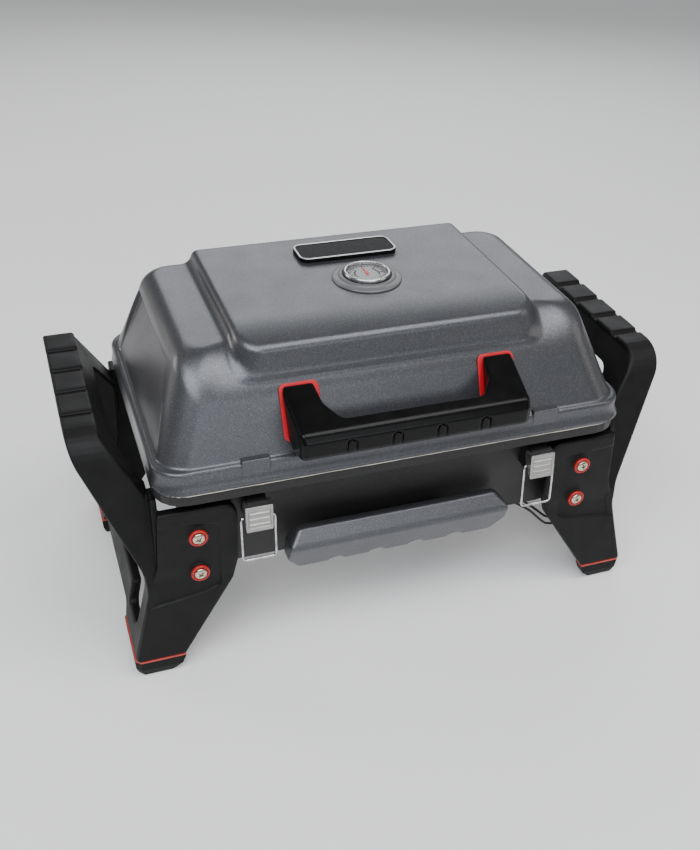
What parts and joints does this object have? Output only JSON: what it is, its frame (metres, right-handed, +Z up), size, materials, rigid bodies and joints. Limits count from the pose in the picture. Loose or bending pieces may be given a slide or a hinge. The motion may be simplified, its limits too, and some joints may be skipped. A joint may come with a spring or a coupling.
{
  "type": "portable tabletop grill",
  "caption": "Tabletop gas grill: hinged cast lid with handle and thermometer over a firebox, between side frames with carry handles, latches and a pull-out tray.",
  "frame": {"origin": "middle of the grill's box at the height of the feet", "axes": "+X to the right of someone in front of it, +Y to the back, +Z up"},
  "size_m": [0.6172, 0.3399, 0.3433],
  "materials": {
    "lid_paint": "textured dark grey metallic paint on cast metal",
    "firebox_paint": "satin black heat-proof paint on cast metal",
    "frame_plastic": "fine-grained black moulding",
    "red_plastic": "satin",
    "gasket_rubber": "satin silicone",
    "foot_rubber": "matt",
    "bright_steel": "pressed, lightly brushed",
    "chrome": "polished",
    "porcelain_iron": "glossy enamel",
    "stainless": "rolled sheet",
    "galvanised": "zinc coated sheet",
    "dial_grey": "satin print",
    "needle_red": "satin",
    "glass": "clear",
    "black_plastic": "semi-gloss",
    "brass": "machined",
    "ceramic": "glazed",
    "lead_rubber": "smooth"
  },
  "bodies": {
    "grill": {"firebox": "firebox_paint", "latch_base_left": "firebox_paint", "latch_base_right": "firebox_paint", "hinge_bracket_left": "firebox_paint", "hinge_bracket_right": "firebox_paint", "side_frame_left": "frame_plastic", "side_frame_right": "frame_plastic", "foot_cap_front_left": "foot_rubber", "foot_band_front_left": "red_plastic", "foot_cap_front_right": "foot_rubber", "foot_band_front_right": "red_plastic", "foot_cap_rear_left": "foot_rubber", "foot_band_rear_left": "red_plastic", "foot_cap_rear_right": "foot_rubber", "foot_band_rear_right": "red_plastic", "screw_washer_front_left_upper": "red_plastic", "leg_screw_front_left_upper": "bright_steel", "screw_washer_front_left_lower": "red_plastic", "leg_screw_front_left_lower": "bright_steel", "screw_washer_front_right_upper": "red_plastic", "leg_screw_front_right_upper": "bright_steel", "screw_washer_front_right_lower": "red_plastic", "leg_screw_front_right_lower": "bright_steel", "screw_washer_rear_left_upper": "red_plastic", "leg_screw_rear_left_upper": "bright_steel", "screw_washer_rear_left_lower": "red_plastic", "leg_screw_rear_left_lower": "bright_steel", "screw_washer_rear_right_upper": "red_plastic", "leg_screw_rear_right_upper": "bright_steel", "screw_washer_rear_right_lower": "red_plastic", "leg_screw_rear_right_lower": "bright_steel", "emitter_plate": "stainless", "cooking_grate": "porcelain_iron", "burner_tube": "stainless", "igniter_electrode": "ceramic", "gas_regulator": "brass", "igniter_body": "black_plastic", "igniter_lead": "lead_rubber", "earth_lead": "lead_rubber", "hinge_pin_left": "bright_steel", "hinge_pin_right": "bright_steel"},
    "lid": {"lid_shell": "lid_paint", "lid_handle": "frame_plastic", "handle_gasket_left": "gasket_rubber", "handle_gasket_right": "gasket_rubber", "badge_plate": "black_plastic", "gauge_housing": "chrome", "gauge_dial": "dial_grey", "gauge_lens": "glass", "hinge_arm_left": "firebox_paint", "hinge_arm_right": "firebox_paint"},
    "gauge_needle_body": {"gauge_needle": "needle_red"},
    "tray": {"grease_tray": "galvanised", "tray_handle": "lid_paint"},
    "latch_lever_left_body": {"latch_lever_left": "bright_steel"},
    "latch_bail_left_body": {"latch_bail_left": "chrome"},
    "latch_lever_right_body": {"latch_lever_right": "bright_steel"},
    "latch_bail_right_body": {"latch_bail_right": "chrome"},
    "knob": {"control_knob": "black_plastic"},
    "igniter_push": {"igniter_button": "red_plastic"}
  },
  "joints": [
    {"name": "lid_hinge", "type": "hinge", "parent": "grill", "child": "lid", "pos_m": [0, 0.162, 0.213], "axis": [-1, 0, 0], "range_deg": [0, 95]},
    {"name": "needle_turn", "type": "hinge", "parent": "lid", "child": "gauge_needle_body", "pos_m": [0.006, 0.001, 0.3399], "axis": [0, 0, -1], "range_deg": [-120, 120]},
    {"name": "latch_lever_left_turn", "type": "hinge", "parent": "grill", "child": "latch_lever_left_body", "pos_m": [-0.1467, -0.1385, 0.1885], "axis": [-1, 0, 0], "range_deg": [0, 105]},
    {"name": "latch_bail_left_swing", "type": "hinge", "parent": "latch_lever_left_body", "child": "latch_bail_left_body", "pos_m": [-0.1467, -0.142, 0.176], "axis": [-1, 0, 0], "range_deg": [0, 75]},
    {"name": "latch_lever_right_turn", "type": "hinge", "parent": "grill", "child": "latch_lever_right_body", "pos_m": [0.1467, -0.1385, 0.1885], "axis": [-1, 0, 0], "range_deg": [0, 105]},
    {"name": "latch_bail_right_swing", "type": "hinge", "parent": "latch_lever_right_body", "child": "latch_bail_right_body", "pos_m": [0.1467, -0.142, 0.176], "axis": [-1, 0, 0], "range_deg": [0, 75]},
    {"name": "knob_turn", "type": "hinge", "parent": "grill", "child": "knob", "pos_m": [0.252, -0.037, 0.135], "axis": [0, -1, 0], "range_deg": [-90, 0]},
    {"name": "igniter_travel", "type": "slide", "parent": "grill", "child": "igniter_push", "axis": [-1, 0, 0], "range_m": [0, 0.004], "stiffness_N_per_m": 300, "springref_m": -0.002},
    {"name": "tray_slide", "type": "slide", "parent": "grill", "child": "tray", "axis": [0, -1, 0], "range_m": [0, 0.12]}
  ]
}
